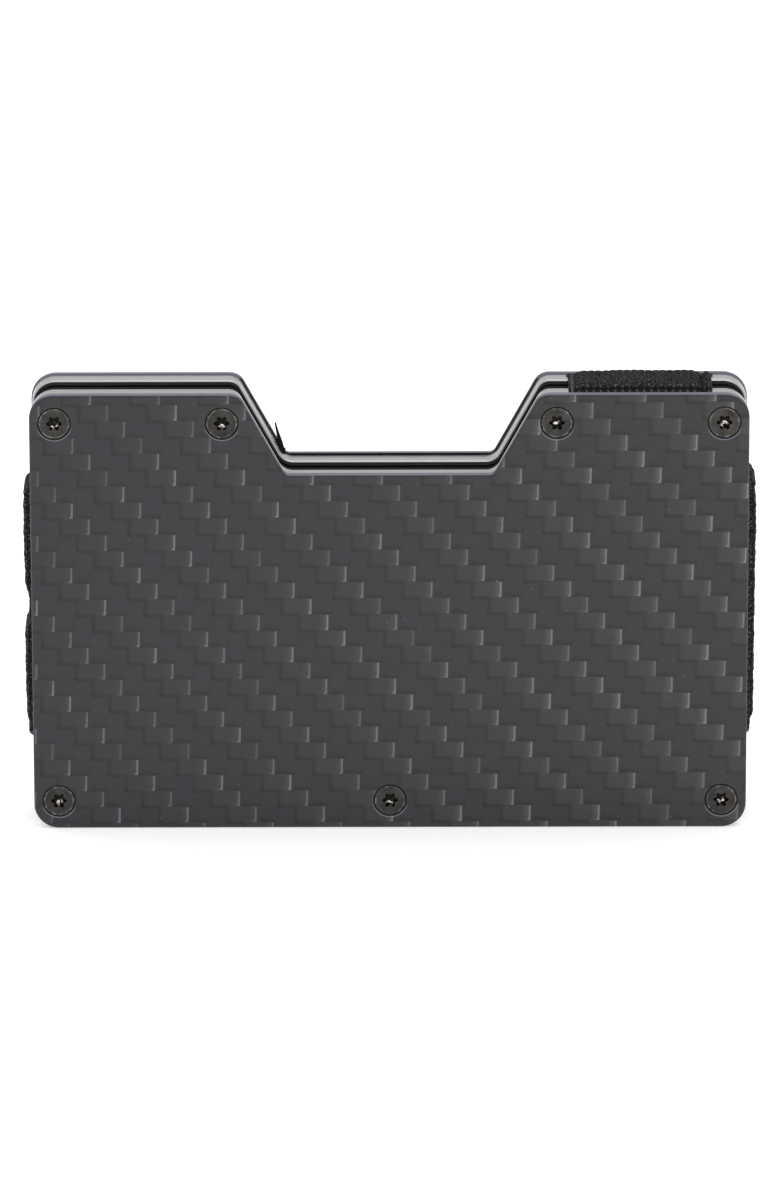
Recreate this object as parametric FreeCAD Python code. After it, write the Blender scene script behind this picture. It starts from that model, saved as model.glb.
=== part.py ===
import FreeCAD, Part
import math
import os

os.makedirs("parts", exist_ok=True)

Vector = FreeCAD.Vector

# The wallet stands on its card mouth, the bottom long edge, at Z = 0.
# Y = 0 is the middle of the card gap. The front half lies at negative Y, and the rear half mirrors it.
# All sizes are in millimetres.

# ---- plates ----
WIDTH = 86.0
HEIGHT = 54.6
CORNER_R = 3.0
COVER_T = 1.0
INNER_T = 2.3
LINER_T = 1.3
REST_GAP = 0.9
COVER_EDGE_R = 0.3
INNER_INSET = 0.15  # how far the covers stand proud of the inner plates, except along the mouth and notch
INNER_BEVEL = 0.17

# ---- thumb notch in the top edge ----
NOTCH_TOP_W = 36.0
NOTCH_FLOOR_W = 25.0
NOTCH_DEPTH = 10.0
NOTCH_TOP_R = 2.0
NOTCH_FLOOR_R_INNER = 1.6
NOTCH_FLOOR_R_COVER = 0.9
NOTCH_EXTRA_STEP = 0.12  # how much further the covers stand proud inside the notch

# ---- cover screws ----
SCREW_PITCH_X = 40.0
SCREW_INSET_Z = 3.5
COUNTERSINK_R = 2.0
SCREW_RECESS = 0.06
SCREW_HEAD_EDGE = 0.05
SCREW_NECK_R = 1.05
SCREW_LENGTH = 3.0
SHANK_R = 0.85
SHANK_TIP_BEVEL = 0.2
TAPPED_HOLE_R = 0.9
COVER_HOLE_R = 1.1
DRIVE_CORE_R = 0.7
DRIVE_LOBE_R = 0.22
DRIVE_LOBE_OFFSET = 0.72
DRIVE_DEPTH = 0.6
DRIVE_LOBES = 6

# ---- elastic ----
ELASTIC_T = 0.8
ELASTIC_CLEARANCE = 0.05
BAND_LOW_Z = 11.8
BAND_HIGH_Z = 43.2
BAND_WAIST_LOW_Z = 25.0
BAND_WAIST_HIGH_Z = 29.0
BAND_WAIST_T = 0.3
BAND_CHANNEL_MARGIN_Z = 0.6
STRAP_CENTRE_X = 30.0
STRAP_W = 17.2
STRAP_CHANNEL_W = 17.6
STRAP_END_Z = 37.0
STRAP_JOG_H = 0.75
STRAP_JOG_ABOVE_BAND = 0.25
STRAP_POCKET_MARGIN_Z = 0.2
WRAP_EDGE_R = 0.5

# ---- worked out from the above ----
LINER_IN_Y = REST_GAP / 2
INNER_IN_Y = LINER_IN_Y + LINER_T
INNER_OUT_Y = INNER_IN_Y + INNER_T
INNER_HALF_W = WIDTH / 2 - INNER_INSET
INNER_TOP_Z = HEIGHT - INNER_INSET
COVER_OUT_Y = INNER_OUT_Y + COVER_T
NOTCH_FLOOR_Z = HEIGHT - NOTCH_DEPTH
CHANNEL_DEPTH = ELASTIC_T + 2 * ELASTIC_CLEARANCE
POCKET_DEPTH = CHANNEL_DEPTH + ELASTIC_T + ELASTIC_CLEARANCE
WRAP_IN_X = INNER_HALF_W + ELASTIC_CLEARANCE
WRAP_IN_Y = INNER_OUT_Y - ELASTIC_CLEARANCE - ELASTIC_T
WRAP_IN_R = WRAP_EDGE_R + ELASTIC_CLEARANCE
WRAP_OUT_R = WRAP_IN_R + ELASTIC_T
STRAP_JOG_Z = BAND_HIGH_Z + STRAP_JOG_ABOVE_BAND
SCREW_PLACES = [(x, HEIGHT - SCREW_INSET_Z) for x in (-1.0 * SCREW_PITCH_X, -0.5 * SCREW_PITCH_X,
                                                      0.5 * SCREW_PITCH_X, 1.0 * SCREW_PITCH_X)]
SCREW_PLACES += [(x, SCREW_INSET_Z) for x in (-SCREW_PITCH_X, 0.0, SCREW_PITCH_X)]
BEYOND = 1.0  # how far a cutting tool runs past the face it opens
SAME = 1e-4
NEAR = 1.0  # how close to the outline's edge a corner lies if it belongs to that edge


def box(low, high):
    """A box between two corners, each given as (x, y, z)."""
    size = [b - a for a, b in zip(low, high)]
    return Part.makeBox(*size, Vector(*low))


def edges_along_y(shape, x, z):
    """The edges of a prism that run along Y through the point x, z."""
    def passes(vertex):
        return abs(vertex.X - x) < SAME and abs(vertex.Z - z) < SAME
    return [e for e in shape.Edges if len(e.Vertexes) == 2 and all(passes(v) for v in e.Vertexes)]


def edges_in_plane_y(shape, y):
    """The edges of a shape that lie wholly in the plane at one Y."""
    return [e for e in shape.Edges if e.BoundBox.YLength < SAME and abs(e.BoundBox.YMin - y) < SAME]


def plate(outer_y, inner_y, floor_radius, inset=0.0, foot=0.0, notch_step=0.0):
    """A flat plate with rounded corners and the notch, between two Y values of the front half.
    Its outline is set in from the cover's, and by notch_step more in the notch, but its bottom edge is
    at the height foot."""
    half = WIDTH / 2
    lean = (NOTCH_TOP_W - NOTCH_FLOOR_W) / 2 / NOTCH_DEPTH
    aside = notch_step * math.hypot(1.0, lean)
    top_half = NOTCH_TOP_W / 2 + aside
    floor_half = NOTCH_FLOOR_W / 2 + aside - lean * notch_step
    right = [(half, foot - inset), (half, HEIGHT), (top_half, HEIGHT),
             (floor_half, NOTCH_FLOOR_Z - notch_step)]
    left = [(-x, z) for x, z in reversed(right)]
    outline = [Vector(x, outer_y, z) for x, z in right + left]
    face = Part.Face(Part.makePolygon(outline + outline[:1]))
    if inset:
        face = face.makeOffset2D(-inset, join=2)
    solid = face.extrude(Vector(0, inner_y - outer_y, 0))
    for vertex in face.Vertexes:
        x, z = vertex.X, vertex.Z
        if abs(x) > half - NEAR:
            radius = CORNER_R - inset
        elif z > HEIGHT - NEAR:
            radius = NOTCH_TOP_R - inset - notch_step
        else:
            radius = floor_radius + inset + notch_step
        solid = solid.makeFillet(radius, edges_along_y(solid, x, z))
    return solid


def revolved(profile):
    """A body of revolution about the Y axis, from (radius, y) points."""
    points = [Vector(r, y, 0) for r, y in profile]
    face = Part.Face(Part.makePolygon(points + points[:1]))
    return face.revolve(Vector(0, 0, 0), Vector(0, 1, 0), 360)


def at_screws(shape):
    """Copies of a shape made at x = z = 0, one at each screw place."""
    copies = []
    for x, z in SCREW_PLACES:
        copy = shape.copy()
        copy.translate(Vector(x, 0, z))
        copies.append(copy)
    return copies


def cover():
    """The outer plate, with a countersunk hole for each screw."""
    outer_y = -COVER_OUT_Y
    solid = plate(outer_y, -INNER_OUT_Y, NOTCH_FLOOR_R_COVER)
    solid = solid.makeFillet(COVER_EDGE_R, edges_in_plane_y(solid, outer_y))
    cone_depth = COUNTERSINK_R - COVER_HOLE_R
    hole = revolved([(0, outer_y - BEYOND), (COUNTERSINK_R, outer_y - BEYOND), (COUNTERSINK_R, outer_y),
                     (COVER_HOLE_R, outer_y + cone_depth), (COVER_HOLE_R, -INNER_OUT_Y + BEYOND),
                     (0, -INNER_OUT_Y + BEYOND)])
    return solid.cut(at_screws(hole))


def channel_cutters():
    """The band's channel, the strap's channel and the deeper pocket where strap and band overlap."""
    outer_y = -INNER_OUT_Y
    reach = WIDTH / 2 + BEYOND
    strap_low_x = STRAP_CENTRE_X - STRAP_CHANNEL_W / 2
    strap_high_x = STRAP_CENTRE_X + STRAP_CHANNEL_W / 2
    band = box((-reach, outer_y - BEYOND, BAND_LOW_Z - BAND_CHANNEL_MARGIN_Z),
               (reach, outer_y + CHANNEL_DEPTH, BAND_HIGH_Z + BAND_CHANNEL_MARGIN_Z))
    strap = box((strap_low_x, outer_y - BEYOND, NOTCH_FLOOR_Z),
                (strap_high_x, outer_y + CHANNEL_DEPTH, HEIGHT + BEYOND))
    pocket = box((strap_low_x, outer_y - BEYOND, STRAP_END_Z - STRAP_POCKET_MARGIN_Z),
                 (strap_high_x, outer_y + POCKET_DEPTH, NOTCH_FLOOR_Z))
    return [band, strap, pocket]


def wrap_edges(shape):
    """The plate edges that the elastic bends round: along Z at both sides, along X at the strap."""
    floor_y = -INNER_OUT_Y + CHANNEL_DEPTH
    chosen = []
    for edge in edges_in_plane_y(shape, floor_y):
        bounds = edge.BoundBox
        at_side = bounds.XLength < SAME and abs(abs(bounds.XMin) - INNER_HALF_W) < SAME
        at_top = bounds.ZLength < SAME and abs(bounds.ZMin - INNER_TOP_Z) < SAME
        if at_side or at_top:
            chosen.append(edge)
    return chosen


def inner_plate():
    """The metal plate that holds the screws, with the elastic's channels in its outer face."""
    solid = plate(-INNER_OUT_Y, -INNER_IN_Y, NOTCH_FLOOR_R_INNER, INNER_INSET, notch_step=NOTCH_EXTRA_STEP)
    solid = solid.makeChamfer(INNER_BEVEL, edges_in_plane_y(solid, -INNER_IN_Y))
    solid = solid.cut(channel_cutters())
    solid = solid.makeFillet(WRAP_EDGE_R, wrap_edges(solid))
    hole = Part.makeCylinder(TAPPED_HOLE_R, INNER_T + 2 * BEYOND, Vector(0, -INNER_OUT_Y - BEYOND, 0),
                             Vector(0, 1, 0))
    return solid.cut(at_screws(hole))


def liner():
    """The thin sheet that the cards slide on. Its edge meets the foot of the metal plate's bevel."""
    return plate(-INNER_IN_Y, -LINER_IN_Y, NOTCH_FLOOR_R_INNER, INNER_INSET + INNER_BEVEL, INNER_BEVEL,
                 NOTCH_EXTRA_STEP)


def screw():
    """A countersunk screw with a six-lobe recess, its head seated on the countersink."""
    head_y = -COVER_OUT_Y + SCREW_RECESS
    head_r = COUNTERSINK_R - SCREW_RECESS
    tip_y = head_y + SCREW_LENGTH
    cone_end_y = head_y + head_r - SCREW_NECK_R
    body = revolved([(0, head_y), (head_r - 2 * SCREW_HEAD_EDGE, head_y),
                     (head_r - SCREW_HEAD_EDGE, head_y + SCREW_HEAD_EDGE), (SCREW_NECK_R, cone_end_y),
                     (SHANK_R, cone_end_y), (SHANK_R, tip_y - SHANK_TIP_BEVEL),
                     (SHANK_R - SHANK_TIP_BEVEL, tip_y), (0, tip_y)])
    start = Vector(0, head_y - BEYOND, 0)
    recess = Part.makeCylinder(DRIVE_CORE_R, DRIVE_DEPTH + BEYOND, start, Vector(0, 1, 0))
    for index in range(DRIVE_LOBES):
        angle = 2 * math.pi * index / DRIVE_LOBES
        aside = Vector(DRIVE_LOBE_OFFSET * math.cos(angle), 0, DRIVE_LOBE_OFFSET * math.sin(angle))
        lobe = Part.makeCylinder(DRIVE_LOBE_R, DRIVE_DEPTH + BEYOND, start + aside, Vector(0, 1, 0))
        recess = recess.fuse(lobe)
    return body.cut(recess)


def rounded_bar(half_x, half_y, radius, low_z, high_z):
    """An upright bar with a rounded rectangular section, centred on the Z axis."""
    bar = box((-half_x, -half_y, low_z), (half_x, half_y, high_z))
    upright = [e for e in bar.Edges if e.BoundBox.ZLength > high_z - low_z - SAME]
    return bar.makeFillet(radius, upright)


def side_band():
    """The closed elastic loop round both inner plates, thinner at its waist on the left side."""
    out_x = WRAP_IN_X + ELASTIC_T
    out_y = WRAP_IN_Y + ELASTIC_T
    loop = rounded_bar(out_x, out_y, WRAP_OUT_R, BAND_LOW_Z, BAND_HIGH_Z)
    loop = loop.cut(rounded_bar(WRAP_IN_X, WRAP_IN_Y, WRAP_IN_R, BAND_LOW_Z - BEYOND, BAND_HIGH_Z + BEYOND))
    waist = box((-out_x - BEYOND, -out_y - BEYOND, BAND_WAIST_LOW_Z),
                (-WRAP_IN_X - BAND_WAIST_T, out_y + BEYOND, BAND_WAIST_HIGH_Z))
    return loop.cut(waist)


def top_strap():
    """The elastic strap over the top edge. Each end drops behind the band, where it is sewn on."""
    low_x = STRAP_CENTRE_X - STRAP_W / 2
    high_x = STRAP_CENTRE_X + STRAP_W / 2
    out_y = WRAP_IN_Y + ELASTIC_T
    in_top = INNER_TOP_Z + ELASTIC_CLEARANCE
    out_top = in_top + ELASTIC_T

    def arch(half_y, top, radius, foot, extra):
        bar = box((low_x - extra, -half_y, foot), (high_x + extra, half_y, top))
        upper = [e for e in bar.Edges if e.BoundBox.ZMin > top - SAME and e.BoundBox.XLength > STRAP_W - SAME]
        return bar.makeFillet(radius, upper)

    strap = arch(out_y, out_top, WRAP_OUT_R, STRAP_JOG_Z, 0.0)
    strap = strap.cut(arch(WRAP_IN_Y, in_top, WRAP_IN_R, STRAP_JOG_Z - BEYOND, BEYOND))
    tail_out_y = WRAP_IN_Y - ELASTIC_CLEARANCE
    tail_in_y = tail_out_y - ELASTIC_T
    for low_y, high_y in ((-out_y, -tail_in_y), (tail_in_y, out_y)):
        strap = strap.fuse(box((low_x, low_y, STRAP_JOG_Z), (high_x, high_y, STRAP_JOG_Z + STRAP_JOG_H)))
    for low_y, high_y in ((-tail_out_y, -tail_in_y), (tail_in_y, tail_out_y)):
        strap = strap.fuse(box((low_x, low_y, STRAP_END_Z), (high_x, high_y, STRAP_JOG_Z)))
    return strap.removeSplitter()


def mirrored(shape):
    """The rear half's mirror image of a front piece."""
    return shape.mirror(Vector(0, 0, 0), Vector(0, 1, 0))


front = {
    "cover": cover(),
    "inner_plate": inner_plate(),
    "liner": liner(),
    "cover_screws": Part.makeCompound(at_screws(screw())),
}
nodes = {"side_elastic_band": side_band(), "top_elastic_strap": top_strap()}
for name, shape in front.items():
    nodes["front_" + name] = shape
    nodes["rear_" + name] = mirrored(shape)
for name, shape in nodes.items():
    shape.exportStep(os.path.join("parts", name + ".step"))
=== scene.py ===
import math
import random

import bmesh
import bpy
import numpy as np
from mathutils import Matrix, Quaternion, Vector


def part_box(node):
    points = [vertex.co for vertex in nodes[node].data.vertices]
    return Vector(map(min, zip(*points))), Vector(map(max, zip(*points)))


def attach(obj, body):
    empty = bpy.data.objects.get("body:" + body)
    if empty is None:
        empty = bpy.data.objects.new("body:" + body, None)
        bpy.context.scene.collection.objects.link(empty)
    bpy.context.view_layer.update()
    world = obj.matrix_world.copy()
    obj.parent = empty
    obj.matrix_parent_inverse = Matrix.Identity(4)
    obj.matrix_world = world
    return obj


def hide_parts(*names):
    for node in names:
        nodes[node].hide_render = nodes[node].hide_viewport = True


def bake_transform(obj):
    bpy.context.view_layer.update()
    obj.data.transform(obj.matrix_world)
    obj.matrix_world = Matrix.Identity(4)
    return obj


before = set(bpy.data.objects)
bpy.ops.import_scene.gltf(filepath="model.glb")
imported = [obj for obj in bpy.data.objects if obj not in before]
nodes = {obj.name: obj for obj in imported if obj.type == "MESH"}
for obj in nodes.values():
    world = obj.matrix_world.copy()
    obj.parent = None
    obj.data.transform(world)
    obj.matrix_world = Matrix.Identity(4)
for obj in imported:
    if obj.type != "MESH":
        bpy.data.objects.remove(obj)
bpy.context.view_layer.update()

MM = 0.001

# ---- places worked out from the frame, in millimetres ----
cover_low, cover_high = [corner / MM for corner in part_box("front_cover")]
inner_low, inner_high = [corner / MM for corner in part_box("front_inner_plate")]
band_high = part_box("side_elastic_band")[1] / MM
strap_low, strap_high = [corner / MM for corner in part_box("top_elastic_strap")]
screws_low, screws_high = [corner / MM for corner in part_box("front_cover_screws")]
PLATE_HALF_W = inner_high.x
PLATE_TOP = inner_high.z
COVER_STEP = cover_high.x - inner_high.x     # how far the covers stand proud of the inner plates
ELASTIC_T = 0.8
GAP_TO_PLATE = 0.05         # between the elastic's inner face and the plates
SCREW_HEAD_R = 1.89
SCREW_HEAD_Y = -screws_low.y
SCREW_PITCH = (screws_high.x - SCREW_HEAD_R) / 2
SCREW_INSET = screws_low.z + SCREW_HEAD_R
COUNTERSINK_R = 2.0
COVER_INNER_Y = -cover_high.y
NOTCH_TOP_HALF_W = 18.0     # the thumb notch in the top edges narrows towards its floor
NOTCH_FLOOR_HALF_W = 12.5
NOTCH_DEPTH = 10.0
NOTCH_FLOOR_Z = cover_high.z - NOTCH_DEPTH


# ======================================================================= material nodes
class Number:
    """A number in a material's node tree. Arithmetic on it adds Math nodes."""

    def __init__(self, tree, value):
        self.tree = tree
        self.value = value

    def math(self, operation, *others):
        node = self.tree.nodes.new("ShaderNodeMath")
        node.operation = operation
        for socket, item in zip(node.inputs, (self, *others)):
            feed(self.tree, socket, item)
        return Number(self.tree, node.outputs[0])

    def __add__(self, other):
        return self.math("ADD", other)

    def __sub__(self, other):
        return self.math("SUBTRACT", other)

    def __rsub__(self, other):
        return Number(self.tree, other).math("SUBTRACT", self)

    def __mul__(self, other):
        return self.math("MULTIPLY", other)

    def __truediv__(self, other):
        return self.math("DIVIDE", other)

    def __pow__(self, other):
        return self.math("POWER", other)

    __radd__ = __add__
    __rmul__ = __mul__

    def floor(self):
        return self.math("FLOOR")

    def fract(self):
        return self.math("FRACT")

    def size(self):
        return self.math("ABSOLUTE")

    def modulo(self, other):
        return self.math("FLOORED_MODULO", other)

    def least(self, other):
        return self.math("MINIMUM", other)

    def most(self, other):
        return self.math("MAXIMUM", other)

    def above(self, other):
        return self.math("GREATER_THAN", other)

    def rise(self, start, end):
        """0 before start, 1 after end, smooth between. With start above end it falls instead."""
        node = self.tree.nodes.new("ShaderNodeMapRange")
        node.interpolation_type = "SMOOTHSTEP"
        low, high, from_value, to_value = (start, end, 0.0, 1.0) if start < end else (end, start, 1.0, 0.0)
        feed(self.tree, node.inputs["Value"], self)
        node.inputs["From Min"].default_value = low
        node.inputs["From Max"].default_value = high
        node.inputs["To Min"].default_value = from_value
        node.inputs["To Max"].default_value = to_value
        return Number(self.tree, node.outputs["Result"])

    def towards(self, other, share):
        """This number at share 0, and the other at share 1."""
        return self + (other - self) * share


def feed(tree, socket, item):
    """Puts a number, a Number or a socket into an input."""
    if isinstance(item, Number):
        item = item.value
    if isinstance(item, bpy.types.NodeSocket):
        tree.links.new(item, socket)
    else:
        socket.default_value = item


def new_material(name):
    """An empty material with a Principled surface: returns the material, its tree and that node."""
    material = bpy.data.materials.new(name)
    material.use_nodes = True
    tree = material.node_tree
    surface = tree.nodes["Principled BSDF"]
    return material, tree, surface


def place_mm(tree):
    """The rest-pose position in millimetres, as three Numbers."""
    coordinates = tree.nodes.new("ShaderNodeTexCoord")
    split = tree.nodes.new("ShaderNodeSeparateXYZ")
    tree.links.new(coordinates.outputs["Object"], split.inputs[0])
    return [Number(tree, split.outputs[axis]) / MM for axis in "XYZ"]


def facing(tree):
    """The size of the surface normal along each axis, as three Numbers."""
    coordinates = tree.nodes.new("ShaderNodeTexCoord")
    split = tree.nodes.new("ShaderNodeSeparateXYZ")
    tree.links.new(coordinates.outputs["Normal"], split.inputs[0])
    return [Number(tree, split.outputs[axis]).size() for axis in "XYZ"]


def web_place(tree):
    """The place on woven elastic from its UV map: along and across, in millimetres."""
    coordinates = tree.nodes.new("ShaderNodeUVMap")
    coordinates.uv_map = "web"
    split = tree.nodes.new("ShaderNodeSeparateXYZ")
    tree.links.new(coordinates.outputs["UV"], split.inputs[0])
    return Number(tree, split.outputs["X"]), Number(tree, split.outputs["Y"])


def screw_place(x, z):
    """The place about the nearest cover screw: across, up and the radius.
    The screws of the top row stand at half the bottom row's pitch."""
    is_top = z.above(cover_high.z / 2)
    pitch = 2 * SCREW_PITCH - is_top * SCREW_PITCH
    across = ((x / pitch + 0.5).fract() - 0.5) * pitch
    up = z - (is_top * (cover_high.z - 2 * SCREW_INSET) + SCREW_INSET)
    radius = (across ** 2.0 + up ** 2.0) ** 0.5
    return across, up, radius


def vector(tree, x, y, z):
    node = tree.nodes.new("ShaderNodeCombineXYZ")
    for socket, item in zip(node.inputs, (x, y, z)):
        feed(tree, socket, item)
    return node.outputs[0]


def noise(tree, x, y, z=0.0, detail=3.0, roughness=0.55):
    """Noise from 0 to 1 at a place made of three Numbers."""
    node = tree.nodes.new("ShaderNodeTexNoise")
    node.inputs["Scale"].default_value = 1.0
    node.inputs["Detail"].default_value = detail
    node.inputs["Roughness"].default_value = roughness
    tree.links.new(vector(tree, x, y, z), node.inputs["Vector"])
    return Number(tree, node.outputs["Fac"])


def colour(tree, red, green, blue):
    node = tree.nodes.new("ShaderNodeCombineColor")
    for socket, item in zip(node.inputs, (red, green, blue)):
        feed(tree, socket, item)
    return node.outputs[0]


def tinted(tree, shade, tint):
    """A shade multiplied by each part of a tint."""
    return colour(tree, *[shade * part for part in tint])


def bump(tree, height_mm, strength):
    """A bump normal from a height in millimetres."""
    node = tree.nodes.new("ShaderNodeBump")
    node.inputs["Strength"].default_value = strength
    node.inputs["Distance"].default_value = MM
    feed(tree, node.inputs["Height"], height_mm)
    return node.outputs[0]


# ======================================================================= carbon twill
TOW_X = 2.07            # one tow's width, across the plate and up it
TOW_Z = 2.03
TWILL_REPEAT = 4.0      # the pattern repeats after this many tows
WEAVE_SKEW = -0.0215    # how far the columns lean
WEAVE_TILT = 0.004      # how far the rows climb
FLOAT_END_X = -4.67     # where one weft float ends, and the middle of its row
FLOAT_ROW_Z = 40.36
FLOAT_LENGTH = 1.81     # a weft float's visible length, in tows
WEAVE_BOW = 0.3         # how far the columns lean left in the middle of the plate


def twill(tree, x, z):
    """A 2 by 2 twill: masks and places for weft floats, which run along X, and warp floats, along Z.
    The last result is a steady random share for each weft float."""
    bow = WEAVE_BOW - (x / PLATE_HALF_W) ** 2.0 * WEAVE_BOW
    column = (x - FLOAT_END_X + bow + (z - FLOAT_ROW_Z) * WEAVE_SKEW) / TOW_X + FLOAT_LENGTH
    row = (FLOAT_ROW_Z - z + x * WEAVE_TILT) / TOW_Z + 0.5
    row_number = row.floor()
    down = row.fract()
    # A weft float takes nearly the first two tows of a repeat, and warp floats take the rest.
    along = (column - row_number).modulo(TWILL_REPEAT)
    is_warp = along.above(FLOAT_LENGTH)
    weft_share = (along / FLOAT_LENGTH).least(1.0)
    warp_across = along - 2.0
    second_column = along.above(3.0)
    warp_share = (down + (1.0 - second_column)) * 0.5
    warp_side = warp_across.fract()
    float_number = ((column - row_number) / TWILL_REPEAT).floor()
    lot = noise(tree, float_number * 5.3, row_number * 3.7, 2.0, detail=0.0)
    return is_warp, weft_share, down, warp_share, warp_side, lot


def carbon_material():
    """Carbon-fibre twill under a satin clear coat, with the laminate's layers on its cut edges."""
    material, tree, surface = new_material("carbon_twill")
    x, y, z = place_mm(tree)
    _, side_y, side_z = facing(tree)
    is_warp, weft_share, down, warp_share, warp_side, lot = twill(tree, x, z)

    wave = noise(tree, x * 0.45, z * 0.45, 3.0, detail=4.0)
    hue_drift = noise(tree, x * 0.3, z * 0.3, 13.0, detail=2.0)
    weft_fibres = noise(tree, x * 0.5, z * 14.0, 7.0, detail=4.0, roughness=0.7)
    warp_fibres = noise(tree, x * 14.0, z * 0.5, 11.0, detail=4.0, roughness=0.7)

    # A weft float gets a painted highlight where it dips at its right end, painted shadow at its left end and
    # along its lower edge, and is painted brighter along its length. The painted highlight is a thin line at
    # the plate's left side, and grows wider to the right.
    to_right = (x / PLATE_HALF_W + 1.0) * 0.5
    in_row = down.rise(0.0, 0.07) * down.rise(1.0, 0.94)
    foot = down.rise(0.78, 0.98) * 0.05
    line = (weft_share + foot).rise(0.91, 0.955) * weft_share.rise(1.0, 0.985) * in_row
    halo = (weft_share + foot).rise(0.68, 0.97) * weft_share.rise(1.0, 0.975) * in_row
    left_shadow = weft_share.rise(0.20, 0.02)
    lower_shadow = down.rise(0.82, 1.0) * weft_share.rise(0.75, 0.55)
    tick_highlight = line * (0.092 - to_right * 0.035) + halo * (to_right * 0.028 + 0.006)
    tick_highlight = tick_highlight * (lot.rise(0.25, 0.75) * 0.9 + 0.35)
    weft = 0.0155 + (weft_share + lot) * 0.003 + to_right * 0.004 - left_shadow * 0.010 - lower_shadow * 0.010
    weft = (weft + tick_highlight) * (weft_fibres * 1.1 + 0.45)

    # A warp float starts in a painted shadow and gets painted shade where it sinks, more at its left side; a
    # thin dark line runs along one side of it.
    top_shadow = warp_share.rise(0.10, 0.02)
    sink = (warp_share + (1.0 - warp_side) * 0.10).rise(0.86, 1.02)
    side_line = warp_side.rise(0.93, 1.0)
    warp = 0.0165 - to_right * 0.002 - top_shadow * 0.009 - sink * 0.009 - side_line * 0.004
    warp = warp * (warp_fibres + 0.50)

    # The weave is also painted brighter towards the plate's right, a painted gradient of light.
    weave = weft.towards(warp, is_warp) * (wave * 0.6 + 0.72) * (to_right * 0.26 + 0.85)

    # Fine handling scratches and a few specks of dust.
    scratch_a = noise(tree, x * 0.22 + z * 0.1, z * 9.0 - x * 3.0, 21.0, detail=1.0)
    scratch_b = noise(tree, x * 7.0 + z * 2.0, z * 0.2 - x * 0.05, 31.0, detail=1.0)
    scratches = (scratch_a.rise(0.735, 0.76) + scratch_b.rise(0.735, 0.76)).least(1.0)
    dust = noise(tree, x * 1.9, z * 1.9, 51.0, detail=0.0).rise(0.865, 0.885)

    # Each countersink gets a dark ring of painted shade, with a painted highlight on the lower side of its
    # lip.
    _, up, radius = screw_place(x, z)
    seat_shade = radius.rise(COUNTERSINK_R + 0.04, COUNTERSINK_R)
    lip_highlight = radius.rise(COUNTERSINK_R + 0.02, COUNTERSINK_R + 0.07)
    lip_highlight = lip_highlight * radius.rise(COUNTERSINK_R + 0.22, COUNTERSINK_R + 0.13) * up.rise(-0.3, -1.5)
    weave = weave.towards(0.004, seat_shade) + lip_highlight * 0.10

    # The cut edge shows the stacked plies as fine lines. It is painted palest where it faces up, a painted
    # highlight.
    inner_face = y.size().rise(COVER_INNER_Y + 0.07, COVER_INNER_Y + 0.03)
    is_edge = side_y.rise(0.62, 0.42).most(inner_face)
    ply = (y * 4.0).fract()
    ply_line = (ply - 0.5).size().rise(0.5, 0.3)
    grit = noise(tree, x * 9.0, y * 9.0, z * 9.0, detail=3.0)
    edge = (0.045 + side_z.rise(0.75, 1.0) * 0.075 + ply_line * 0.03) * (grit * 0.5 + 0.75)
    # The face that shows beside the metal plate is painted pale along the top, painted grey shade on the
    # notch's slopes and painted nearly black shade at the notch's floor.
    in_notch = x.size().rise(NOTCH_TOP_HALF_W + 1.0, NOTCH_TOP_HALF_W) * (1.0 - z.above(PLATE_TOP - 0.5))
    on_notch_floor = x.size().rise(NOTCH_FLOOR_HALF_W + 1.5, NOTCH_FLOOR_HALF_W)
    on_notch_floor = on_notch_floor * (1.0 - z.above(NOTCH_FLOOR_Z + 0.6))
    inner_shade = (in_notch * -0.14 + 0.17).towards(0.006, on_notch_floor)
    edge = edge.towards(inner_shade, inner_face)

    shade = (weave + scratches * 0.003 + dust * 0.05).towards(edge, is_edge)
    # Warp tows look bluish and weft tows warmer. The plate is warmer towards its right.
    cool = is_warp.most(is_edge) * 0.13 + hue_drift * 0.20 - to_right * 0.10
    blue = shade * (cool + 1.07) - tick_highlight * (1.0 - is_warp) * (1.0 - is_edge) * 0.15
    feed(tree, surface.inputs["Base Color"], colour(tree, shade, shade * 0.97, blue))

    weft_round = 1.0 - (down * 2.0 - 1.0).size() ** 4.0
    warp_round = 1.0 - (warp_side * 2.0 - 1.0).size() ** 4.0
    weft_height = weft_round * 0.030 - weft_share.rise(0.80, 1.0) * 0.05 - weft_share.rise(0.2, 0.0) * 0.05
    warp_height = warp_round * 0.030 - warp_share.rise(0.86, 1.0) * 0.05 - warp_share.rise(0.14, 0.0) * 0.05
    height = weft_height.towards(warp_height, is_warp) * (1.0 - is_edge)
    tree.links.new(bump(tree, height + grit * is_edge * 0.02, 0.5), surface.inputs["Normal"])
    coat_height = height * 0.12 + noise(tree, x * 1.3, y * 1.3, z * 1.3, detail=2.0) * 0.012
    tree.links.new(bump(tree, coat_height, 0.5), surface.inputs["Coat Normal"])

    rough = (0.42 + scratches * 0.15).towards(0.6, is_edge)
    feed(tree, surface.inputs["Roughness"], rough)
    surface.inputs["Specular IOR Level"].default_value = 0.2
    feed(tree, surface.inputs["Coat Weight"], (1.0 - is_edge) * (1.0 - seat_shade) * 0.5)
    feed(tree, surface.inputs["Coat Roughness"], wave * 0.10 + scratches * 0.2 + 0.16)
    surface.inputs["Coat IOR"].default_value = 1.5
    return material


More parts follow.
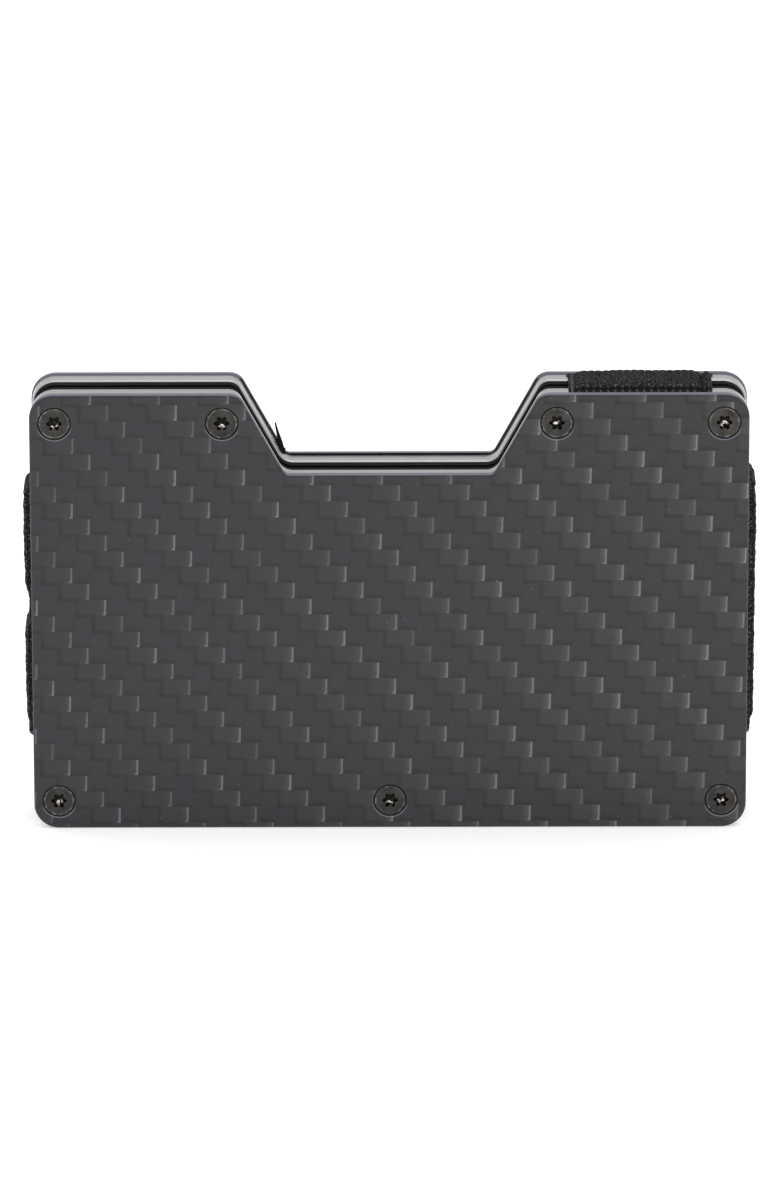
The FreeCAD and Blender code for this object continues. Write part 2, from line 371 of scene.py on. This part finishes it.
# ======================================================================= metals and plastics
def aluminium_material():
    """Blasted and clear-anodised aluminium, with milling lines along its edges."""
    material, tree, surface = new_material("anodised_aluminium")
    x, y, z = place_mm(tree)
    side_x = facing(tree)[0]
    grain = noise(tree, x * 16.0, y * 16.0, z * 16.0, detail=3.0, roughness=0.7)
    cloud = noise(tree, x * 0.5, y * 1.5, z * 0.5, detail=3.0)
    milling = noise(tree, x * 0.7, y * 22.0, z * 0.7, detail=2.0)
    nick = noise(tree, x * 1.7, y * 2.5, z * 1.7, detail=2.0).rise(0.70, 0.76)
    shade = 0.37 + (grain - 0.5) * 0.08 + (cloud - 0.5) * 0.09 + (milling - 0.5) * 0.11 - nick * 0.10
    # Painted light: the rear plate is painted a little paler and cooler than the front one, and faces turned
    # sideways, such as the notch's slopes, are painted paler.
    is_rear = y.above(0.0)
    shade = shade + side_x.rise(0.4, 0.85) * 0.08 + is_rear * 0.05 - 0.015
    feed(tree, surface.inputs["Base Color"], colour(tree, shade, shade, shade * (is_rear * 0.04 + 0.98)))
    surface.inputs["Metallic"].default_value = 1.0
    feed(tree, surface.inputs["Roughness"], 0.34 + cloud * 0.10 + grain * 0.06)
    height = grain * 0.006 + milling * 0.010 - nick * 0.02
    tree.links.new(bump(tree, height, 0.6), surface.inputs["Normal"])
    return material


def liner_material():
    """Matt black moulded sheet with a fine pebbled surface."""
    material, tree, surface = new_material("liner_black")
    x, y, z = place_mm(tree)
    pebble = noise(tree, x * 7.0, y * 7.0, z * 7.0, detail=3.0, roughness=0.6)
    rub = noise(tree, x * 0.12, y, z * 1.4, detail=3.0).rise(0.55, 0.8)
    shade = 0.003 + pebble * 0.003 + rub * 0.003
    feed(tree, surface.inputs["Base Color"], tinted(tree, shade, (1.0, 0.98, 1.04)))
    feed(tree, surface.inputs["Roughness"], 0.85 - rub * 0.2)
    surface.inputs["Specular IOR Level"].default_value = 0.10
    tree.links.new(bump(tree, pebble * 0.03, 0.6), surface.inputs["Normal"])
    return material


def screw_material():
    """Bronzed steel, turned: rings round each head, painted glints in broken arcs on the rim, a recess
    painted dark as shade, and a painted glint spot in it.
    """
    material, tree, surface = new_material("bronzed_screw")
    x, y, z = place_mm(tree)
    across, up, radius = screw_place(x, z)
    is_top = z.above(cover_high.z / 2)
    turning = noise(tree, radius * 11.0, (x / SCREW_PITCH).floor(), is_top * 5.0, detail=3.0)
    patina = noise(tree, x * 0.9, y * 0.9, z * 0.9, detail=3.0)
    rim = radius.rise(1.55, 1.72)
    in_recess = y.size().rise(SCREW_HEAD_Y - 0.03, SCREW_HEAD_Y - 0.09) * radius.rise(1.05, 1.0)
    # Broken arcs on the rim are painted glints. The rim is also painted a little brighter.
    rim_glint = radius.rise(1.64, 1.72) * radius.rise(1.88, 1.80)
    rim_glint = rim_glint * noise(tree, x * 1.4, z * 1.4, 5.0, detail=2.0).rise(0.50, 0.60)
    shade = 0.047 + (turning - 0.5) * 0.07 + (patina - 0.5) * 0.07 + rim * 0.01 + rim_glint * 0.10
    # Painted glint specks in a spot low in the recess, which is painted near-black as shade.
    glint_specks = noise(tree, x * 2.6, y * 2.6, z * 3.4, detail=2.0).rise(0.53, 0.57)
    from_spot = (across ** 2.0 + (up + 0.38) ** 2.0) ** 0.5
    glint = glint_specks * from_spot.rise(0.55, 0.30)
    shade = shade.towards(0.010 + glint * 0.70, in_recess)
    feed(tree, surface.inputs["Base Color"], colour(tree, shade * 1.06, shade, shade * 0.93))
    surface.inputs["Metallic"].default_value = 1.0
    feed(tree, surface.inputs["Roughness"], 0.30 + turning * 0.16 - rim * 0.08)
    tree.links.new(bump(tree, turning * 0.012, 0.6), surface.inputs["Normal"])
    return material


# ======================================================================= woven elastic
RIB = 0.86              # pitch of the lengthwise ribs
PICK = 0.42             # pitch of the crossing picks
RIB_HEIGHT = 0.045
PICK_HEIGHT = 0.085
SELVAGE_STITCH = 0.55   # pitch of the light stitches along the edge
CREASE = 15.9           # where a crease runs along the strap, painted dark as shade


def elastic_material():
    """Black woven elastic: ribs along it, picks across it, and fine yarn in each."""
    material, tree, surface = new_material("woven_elastic")
    along, across = web_place(tree)
    side_x, side_y, _ = facing(tree)
    z = place_mm(tree)[2]
    rib_round = 1.0 - (((across / RIB).fract() * 2.0 - 1.0).size() ** 3.0)
    pick_round = 1.0 - (((along / PICK).fract() * 2.0 - 1.0).size() ** 2.0)
    twist = ((across * 4.1 + along * 5.3).fract() * 2.0 - 1.0).size()
    fuzz = noise(tree, along * 6.0, across * 6.0, detail=4.0, roughness=0.75)
    yarn_glint = noise(tree, along * 4.4, across * 4.4, 9.0, detail=2.0, roughness=0.8).rise(0.53, 0.60)
    patch = noise(tree, along * 0.6, across * 0.9, 5.0, detail=2.0)
    crest = pick_round * rib_round
    selvage = across.rise(0.22, 0.34) * across.rise(0.66, 0.54)
    stitch = selvage * (along / SELVAGE_STITCH).fract().rise(0.25, 0.5) * 0.06
    # The valleys between picks and ribs are painted darker as shade, and the picks' crests carry painted
    # glints.
    shade = 0.001 + pick_round * 0.003 + crest * twist * 0.005 + fuzz.rise(0.48, 0.7) * 0.008
    shade = (shade + yarn_glint * pick_round * 0.094) * (patch * 0.6 + 0.7)
    # Where the strap turns down over the top edges, its picks show as rows, with painted shade between them
    # and a painted highlight on each rib.
    rib_highlight = ((across / RIB).fract() - 0.5).size().rise(0.24, 0.06)
    row = pick_round ** 2.0 * (rib_highlight * 0.075 + 0.012)
    turned_down = side_y.rise(0.35, 0.75) * z.rise(PLATE_TOP - 2.0, PLATE_TOP - 1.5)
    shade = shade.towards(row + 0.001, turned_down * 0.85)
    # The crease is painted dark, as shade.
    crease = (across - CREASE).size().rise(0.35, 0.12) * side_x.rise(0.6, 0.3)
    shade = shade * (1.0 - crease * 0.9) + stitch
    feed(tree, surface.inputs["Base Color"], tinted(tree, shade, (1.0, 0.99, 1.08)))
    feed(tree, surface.inputs["Roughness"], 0.8 + fuzz * 0.2)
    surface.inputs["Specular IOR Level"].default_value = 0.12
    surface.inputs["Sheen Weight"].default_value = 0.02
    surface.inputs["Sheen Roughness"].default_value = 0.4
    height = crest * 0.03 + twist * crest * 0.02 + fuzz * 0.05
    tree.links.new(bump(tree, height, 0.8), surface.inputs["Normal"])
    return material


def thread_material():
    """Black spun thread."""
    material, tree, surface = new_material("black_thread")
    x, y, z = place_mm(tree)
    fibre = noise(tree, x * 12.0, y * 12.0, z * 5.0, detail=3.0)
    feed(tree, surface.inputs["Base Color"], tinted(tree, 0.004 + fibre * 0.012, (1.0, 1.0, 1.05)))
    surface.inputs["Roughness"].default_value = 0.8
    surface.inputs["Specular IOR Level"].default_value = 0.2
    tree.links.new(bump(tree, fibre * 0.03, 0.5), surface.inputs["Normal"])
    return material


def smooth_share(value):
    value = np.clip(value, 0.0, 1.0)
    return value * value * (3 - 2 * value)


def profile(knots):
    """A smooth function through a few (place, value) knots."""
    places = np.array([k[0] for k in knots])
    values = np.array([k[1] for k in knots])

    def at(place):
        index = np.clip(np.searchsorted(places, place, side="right") - 1, 0, len(places) - 2)
        share = (place - places[index]) / (places[index + 1] - places[index])
        return values[index] + (values[index + 1] - values[index]) * smooth_share(share)

    return at


def rounded_share(value, power):
    """0 between two neighbours of a repeat and 1 in the middle, for a value that rises by 1 each repeat."""
    return 1 - np.abs(2 * (value - np.floor(value)) - 1) ** power


def weave_height(along, across):
    """The height of the elastic's ribs and picks, in millimetres."""
    return rounded_share(across / RIB, 3) * (RIB_HEIGHT + PICK_HEIGHT * rounded_share(along / PICK, 2))


def web_mesh(name, outer, inner, along, across, closed):
    """A closed mesh from grids of outer and inner points, with its place on the weave as UVs."""
    rows, columns = along.shape
    points = np.concatenate([outer.reshape(-1, 3), inner.reshape(-1, 3)]) * MM
    offset = rows * columns

    def vertex(side, i, j):
        return side * offset + (i % rows) * columns + j

    faces = []
    places = []

    def quad(*corners):
        faces.append([vertex(*c) for c in corners])
        places.extend([(i, j) for _, i, j in corners])

    last = rows if closed else rows - 1
    for i in range(last):
        for j in range(columns - 1):
            quad((0, i, j), (0, i, j + 1), (0, i + 1, j + 1), (0, i + 1, j))
            quad((1, i, j), (1, i + 1, j), (1, i + 1, j + 1), (1, i, j + 1))
        quad((0, i, 0), (0, i + 1, 0), (1, i + 1, 0), (1, i, 0))
        edge = columns - 1
        quad((0, i, edge), (1, i, edge), (1, i + 1, edge), (0, i + 1, edge))
    if not closed:
        for j in range(columns - 1):
            quad((0, 0, j), (1, 0, j), (1, 0, j + 1), (0, 0, j + 1))
            quad((0, last, j), (0, last, j + 1), (1, last, j + 1), (1, last, j))
    mesh = bpy.data.meshes.new(name)
    mesh.from_pydata(points.tolist(), [], faces)
    step = float(along[1, 0] - along[0, 0])
    uvs = mesh.uv_layers.new(name="web")
    flat = np.zeros((len(places), 2), np.float32)
    for k, (i, j) in enumerate(places):
        wrapped = i // rows
        whole_way = along[rows - 1, j] - along[0, j] + step
        flat[k] = (along[i % rows, j] + wrapped * whole_way, across[i % rows, j])
    uvs.data.foreach_set("uv", flat.ravel())
    mesh.update()
    work = bmesh.new()
    work.from_mesh(mesh)
    bmesh.ops.recalc_face_normals(work, faces=work.faces)
    work.to_mesh(mesh)
    work.free()
    mesh.polygons.foreach_set("use_smooth", [True] * len(mesh.polygons))
    piece = bpy.data.objects.new(name, mesh)
    bpy.context.scene.collection.objects.link(piece)
    return piece


def path_points(corners, radius, fine, coarse, is_fine, closed):
    """Points and outward normals along a path of straight runs and round corners, in its own plane.
    Corners are (a, b) pairs, taken so that outward is to the right of the way along."""
    count = len(corners)
    pieces = []
    for k in range(count):
        here = Vector(corners[k])
        if not closed and k in (0, count - 1):
            pieces.append([(here, None)])
            continue
        before = (Vector(corners[k - 1]) - here).normalized()
        after = (Vector(corners[(k + 1) % count]) - here).normalized()
        centre = here + (before + after) * radius
        steps = max(4, int(radius * math.pi / 2 / fine))
        arc = []
        for step in range(steps + 1):
            turn = math.pi / 2 * step / steps
            aside = -after * math.cos(turn) - before * math.sin(turn)
            arc.append((centre + aside * radius, aside))
        pieces.append(arc)
    points = []
    normals = []
    for k in range(count):
        for point, normal in pieces[k]:
            if normal is not None:
                points.append(point)
                normals.append(normal)
        if not closed and k == count - 1:
            break
        start = pieces[k][-1][0]
        end = pieces[(k + 1) % count][0][0]
        heading = (end - start).normalized()
        outward = Vector((heading.y, -heading.x))
        length = (end - start).length
        place = 0.0
        if not closed and k == 0:
            points.append(start)
            normals.append(outward)
        while True:
            step = fine if is_fine(start + heading * place) else coarse
            place += step
            if place > length - step * 0.5:
                break
            points.append(start + heading * place)
            normals.append(outward)
        if not closed and k == count - 2:
            points.append(end)
            normals.append(outward)
    return np.array(points), np.array(normals)


def arc_lengths(points):
    steps = np.linalg.norm(np.diff(points, axis=0), axis=1)
    return np.concatenate([[0.0], np.cumsum(steps)])


ELASTIC_BEND_R = 0.55   # inside radius where the elastic turns round an edge
BAND_FINE = 0.15        # spacing of the band's points where it shows, and where a cover hides it
BAND_COARSE = 2.0
BAND_COLUMNS = 216
FLAT_T = 0.70           # the elastic's thickness where a cover presses on it
BAND_LEAST_T = 0.16
EDGE_GAP = 0.01         # keeps the elastic inside the depth that its CAD node has


def side_band(material):
    """The loop of elastic round both halves.
    It shows at the two sides, where its outline swells and pinches."""
    half_x = PLATE_HALF_W + GAP_TO_PLATE
    half_y = band_high.y - ELASTIC_T
    visible_x = PLATE_HALF_W - 0.6
    corners = [(-half_x, -half_y), (half_x, -half_y), (half_x, half_y), (-half_x, half_y)]

    def is_fine(point):
        return abs(point.x) > visible_x

    points, normals = path_points(corners, ELASTIC_BEND_R, BAND_FINE, BAND_COARSE, is_fine, True)
    lengths = arc_lengths(points)

    left_low = 11.25
    left_high = 42.7
    right_low = 11.4
    right_high = 43.7
    # How far the band stands out of the plate's side, from its bottom edge to its top edge.
    left = profile([(11.2, 0.30), (11.6, 0.62), (12.4, 0.60), (12.9, 0.55), (14.2, 0.85), (19.0, 0.95),
                    (24.6, 0.93), (25.1, 0.70), (25.6, 0.30), (28.2, 0.26), (29.2, 0.45), (30.6, 0.86),
                    (36.0, 0.98), (40.6, 0.96), (41.2, 0.78), (41.6, 0.98), (42.2, 0.90), (42.7, 0.25)])
    right = profile([(11.4, 0.22), (11.7, 0.42), (13.0, 0.46), (13.3, 0.50), (13.9, 0.88), (22.0, 0.92),
                     (32.0, 0.98), (38.0, 1.08), (41.2, 0.98), (42.0, 0.80), (42.7, 0.92), (43.4, 0.62),
                     (43.7, 0.25)])
    share = np.linspace(0.0, 1.0, BAND_COLUMNS)
    x = points[:, 0][:, None]
    to_right = (x / half_x + 1) / 2
    low = left_low + (right_low - left_low) * to_right
    high = left_high + (right_high - left_high) * to_right
    z = low + (high - low) * share[None, :]
    side = smooth_share((np.abs(x) - visible_x) / 0.9)
    proud = np.where(x > 0, right(z), left(z)) + COVER_STEP
    edge_taper = smooth_share(np.minimum(share, 1 - share) * (BAND_COLUMNS / 6.0))[None, :]
    flat = FLAT_T * (0.55 + 0.45 * edge_taper)
    along = np.repeat(lengths[:, None], BAND_COLUMNS, axis=1)
    across = z - left_low
    relief = weave_height(along, across)
    weave_room = RIB_HEIGHT + PICK_HEIGHT
    sag = 0.035 * np.sin(z * 1.9 + 0.7) + 0.02 * np.sin(z * 4.3)
    outward = flat * (1 - side) + (proud - weave_room + sag * edge_taper + relief) * side
    outward = np.maximum(outward, BAND_LEAST_T)
    outer = np.empty(along.shape + (3,))
    inner = np.empty_like(outer)
    for k in range(2):
        outer[:, :, k] = points[:, k][:, None] + normals[:, k][:, None] * outward
        inner[:, :, k] = points[:, k][:, None]
    limit_y = band_high.y - EDGE_GAP
    outer[:, :, 1] = np.clip(outer[:, :, 1], -limit_y, limit_y)
    outer[:, :, 2] = z
    inner[:, :, 2] = z
    piece = web_mesh("side_band_web", outer, inner, along, across, True)
    piece.data.materials.append(material)
    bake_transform(piece)
    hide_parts("side_elastic_band")


STRAP_FINE = 0.1        # spacing of the strap's points where it shows, and inside the covers
STRAP_COARSE = 0.25
STRAP_LEAST_T = 0.08
STRAP_COLUMNS = 172
JOG_LOW = band_high.z + 0.25     # the strap drops behind the band between these heights
JOG_HIGH = JOG_LOW + 0.75
JOG_DEPTH = ELASTIC_T + 0.05


def top_strap(material):
    """The strap over the top edge.
    It has a flat selvage at its left, a swollen body, and a folded edge at its right."""
    half_y = strap_high.y - ELASTIC_T
    top = PLATE_TOP + GAP_TO_PLATE
    foot = strap_low.z
    visible_z = PLATE_TOP - 1.2
    corners = [(half_y, foot), (half_y, top), (-half_y, top), (-half_y, foot)]

    def is_fine(point):
        return point.y > visible_z

    points, normals = path_points(corners, ELASTIC_BEND_R, STRAP_FINE, STRAP_COARSE, is_fine, False)
    shown = smooth_share((points[:, 1] - visible_z) / 1.0)[:, None]
    drop = JOG_DEPTH * smooth_share((JOG_HIGH - points[:, 1]) / (JOG_HIGH - JOG_LOW))
    lengths = arc_lengths(points)
    across_line = np.linspace(0.0, strap_high.x - strap_low.x, STRAP_COLUMNS)
    # The height of the strap's upper face over the plates, from its left edge to its right edge.
    crown = profile([(0.0, 0.10), (0.12, 0.30), (0.85, 0.34), (0.95, 0.40), (1.6, 0.68), (8.0, 0.76),
                     (14.9, 0.72), (15.7, 0.50), (15.9, 0.02), (16.05, 0.10), (16.55, 0.62), (16.95, 0.52),
                     (17.2, 0.10)])
    along = np.repeat(lengths[:, None], STRAP_COLUMNS, axis=1)
    across = np.repeat(across_line[None, :], len(points), axis=0)
    relief = weave_height(along, across + 0.2) - RIB_HEIGHT - PICK_HEIGHT
    sag = 0.02 * np.sin(along * 0.8 + across * 0.9) + 0.015 * np.sin(across * 2.3 + 1.0)
    body = crown(across) + COVER_STEP * smooth_share(crown(across) / 0.3)
    proud = body + (relief * smooth_share(body / 0.5) + sag * smooth_share((body - 0.2) / 0.4)) * shown
    outward = np.clip(proud, STRAP_LEAST_T, None) * shown + np.minimum(body, FLAT_T) * (1 - shown)
    outer = np.empty(along.shape + (3,))
    inner = np.empty_like(outer)
    for grid, height in ((outer, outward), (inner, np.zeros_like(outward))):
        flat = points[:, 0][:, None] + normals[:, 0][:, None] * height
        side = np.sign(points[:, 0])[:, None]
        grid[:, :, 0] = strap_low.x + across
        grid[:, :, 1] = flat - side * drop[:, None]
        grid[:, :, 2] = points[:, 1][:, None] + normals[:, 1][:, None] * height
    limit_y = strap_high.y - EDGE_GAP
    outer[:, :, 1] = np.clip(outer[:, :, 1], -limit_y, limit_y)
    piece = web_mesh("top_strap_web", outer, inner, along, across, False)
    piece.data.materials.append(material)
    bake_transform(piece)
    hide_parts("top_elastic_strap")


# ======================================================================= loose thread
SPIKE_STRANDS = 4
TUFT_STRANDS = 34


def add_strand(work, start, end, bend, start_radius, end_radius):
    """One tapered thread from start to end, bowed by the vector bend, all in millimetres."""
    rings = 14
    sides = 8
    heading = (end - start).normalized()
    across = heading.cross(Vector((0, 1, 0))).normalized()
    third = heading.cross(across)
    loops = []
    for k in range(rings + 1):
        share = k / rings
        centre = start.lerp(end, share) + bend * math.sin(math.pi * share)
        radius = start_radius + (end_radius - start_radius) * share ** 1.3
        loop = []
        for side in range(sides):
            turn = 2 * math.pi * (side / sides + share * 0.5)
            rim = across * math.cos(turn) + third * math.sin(turn)
            loop.append(work.verts.new((centre + rim * radius) * MM))
        loops.append(loop)
    for low, high in zip(loops, loops[1:]):
        for side in range(sides):
            after = (side + 1) % sides
            work.faces.new((low[side], low[after], high[after], high[side]))
    work.faces.new(loops[0][::-1])
    work.faces.new(loops[-1])


def loose_threads(material):
    """Frayed thread ends, which stick up at the rear of the notch's left corner."""
    random.seed(7)
    thread_y = -inner_low.y - 0.22
    root = Vector((-NOTCH_FLOOR_HALF_W, thread_y, NOTCH_FLOOR_Z - 0.1))
    work = bmesh.new()
    spike_base = root + Vector((-0.35, 0, 0.0))
    spike_tip = root + Vector((-1.2, 0, 4.0))
    for k in range(SPIKE_STRANDS):
        aside = Vector((0.08 * (k - 1.5), 0.07 * (k % 2), 0.0))
        short = spike_base.lerp(spike_tip, 1.0 - 0.07 * k)
        add_strand(work, spike_base + aside, short, Vector((0.02 + 0.03 * k, 0, 0)), 0.22, 0.11)
    side_spike = root + Vector((-0.75, 0, 0.4))
    add_strand(work, side_spike, side_spike + Vector((-0.45, 0, 1.3)), Vector((0.1, 0, 0)), 0.16, 0.05)
    for k in range(TUFT_STRANDS):
        up = random.uniform(0.0, 1.0)
        start = root + Vector((-0.05 - 0.95 * up, random.uniform(-0.35, 0.12), 0.05 + 0.85 * up))
        lift = random.uniform(0.4, 1.0)
        end = start + Vector((random.uniform(-0.35, 0.12), random.uniform(-0.25, 0.05), lift))
        bow = Vector((random.uniform(-0.15, 0.2), random.uniform(-0.15, 0.0), 0))
        add_strand(work, start, end, bow, 0.11, 0.04)
    mesh = bpy.data.meshes.new("loose_threads")
    bmesh.ops.recalc_face_normals(work, faces=work.faces)
    work.to_mesh(mesh)
    work.free()
    mesh.polygons.foreach_set("use_smooth", [True] * len(mesh.polygons))
    mesh.materials.append(material)
    piece = bpy.data.objects.new("loose_threads", mesh)
    bpy.context.scene.collection.objects.link(piece)
    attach(piece, "rear_half")


# ======================================================================= stage
VIEW_ELEVATION = 18.0   # in degrees, as ROLL is
VIEW_DISTANCE = 1135.0
VIEW_LENS = 284.6
SENSOR_WIDTH = 36.0
AIM_RIGHT = 0.04        # where the camera aims, from the middle of the front cover
AIM_UP = 1.80
ROLL = 0.12
FLOOR_GLOW = 0.3        # lifts the white sweep, so that only the contact shadow shows on it
FLOOR_HALF_W = 3.0      # this and the light's sizes are in metres
LIGHT_PLACE = (0.1, 0.1, 1.2)
LIGHT_TARGET = (0.0, 0.0, 0.03)
LIGHT_WIDTH = 1.4
LIGHT_HEIGHT = 1.0
LIGHT_POWER = 4.5
WORLD_STRENGTH = 1.0


def add_camera():
    data = bpy.data.cameras.new("camera")
    data.lens = VIEW_LENS
    data.sensor_width = SENSOR_WIDTH
    data.clip_start = 0.01
    data.clip_end = 20.0
    camera = bpy.data.objects.new("camera", data)
    bpy.context.scene.collection.objects.link(camera)
    elevation = math.radians(VIEW_ELEVATION)
    back = Vector((0, -math.cos(elevation), math.sin(elevation)))
    up = Vector((0, math.sin(elevation), math.cos(elevation)))
    centre = Vector((0, cover_low.y, cover_high.z / 2))
    target = centre + Vector((1, 0, 0)) * AIM_RIGHT + up * AIM_UP
    camera.location = (target + back * VIEW_DISTANCE) * MM
    camera.rotation_mode = "QUATERNION"
    turn = (-back).to_track_quat("-Z", "Y")
    camera.rotation_quaternion = turn @ Quaternion((0, 0, 1), math.radians(-ROLL))
    bpy.context.scene.camera = camera


def add_floor():
    mesh = bpy.data.meshes.new("floor")
    half = FLOOR_HALF_W
    corners = [(-half, -half, 0), (half, -half, 0), (half, half, 0), (-half, half, 0)]
    mesh.from_pydata(corners, [], [(0, 1, 2, 3)])
    floor = bpy.data.objects.new("floor", mesh)
    bpy.context.scene.collection.objects.link(floor)
    material, tree, surface = new_material("floor_white")
    x, y, z = place_mm(tree)
    mottle = noise(tree, x * 0.02, y * 0.02, z, detail=2.0)
    feed(tree, surface.inputs["Base Color"], tinted(tree, 0.90 + mottle * 0.03, (1.0, 1.0, 1.0)))
    surface.inputs["Emission Color"].default_value = (1.0, 1.0, 1.0, 1.0)
    surface.inputs["Emission Strength"].default_value = FLOOR_GLOW
    surface.inputs["Roughness"].default_value = 0.9
    surface.inputs["Specular IOR Level"].default_value = 0.1
    mesh.materials.append(material)


def add_world():
    world = bpy.data.worlds.new("studio")
    world.use_nodes = True
    background = world.node_tree.nodes["Background"]
    background.inputs["Color"].default_value = (1.0, 1.0, 1.0, 1.0)
    background.inputs["Strength"].default_value = WORLD_STRENGTH
    bpy.context.scene.world = world


def add_softbox():
    data = bpy.data.lights.new("top_light", "AREA")
    data.shape = "RECTANGLE"
    data.size = LIGHT_WIDTH
    data.size_y = LIGHT_HEIGHT
    data.energy = LIGHT_POWER
    light = bpy.data.objects.new("top_light", data)
    bpy.context.scene.collection.objects.link(light)
    light.location = LIGHT_PLACE
    light.rotation_mode = "QUATERNION"
    heading = Vector(LIGHT_TARGET) - Vector(LIGHT_PLACE)
    light.rotation_quaternion = heading.to_track_quat("-Z", "Y")


def paint(name, material):
    piece = nodes[name]
    for slot in piece.material_slots:
        slot.link = "OBJECT"
        slot.material = material


carbon = carbon_material()
aluminium = aluminium_material()
black = liner_material()
bronzed = screw_material()
elastic = elastic_material()
for half in ("front", "rear"):
    paint(half + "_cover", carbon)
    paint(half + "_inner_plate", aluminium)
    paint(half + "_liner", black)
    paint(half + "_cover_screws", bronzed)
side_band(elastic)
top_strap(elastic)
loose_threads(thread_material())

add_camera()
add_floor()
add_world()
add_softbox()
bpy.context.scene.view_settings.view_transform = "Standard"
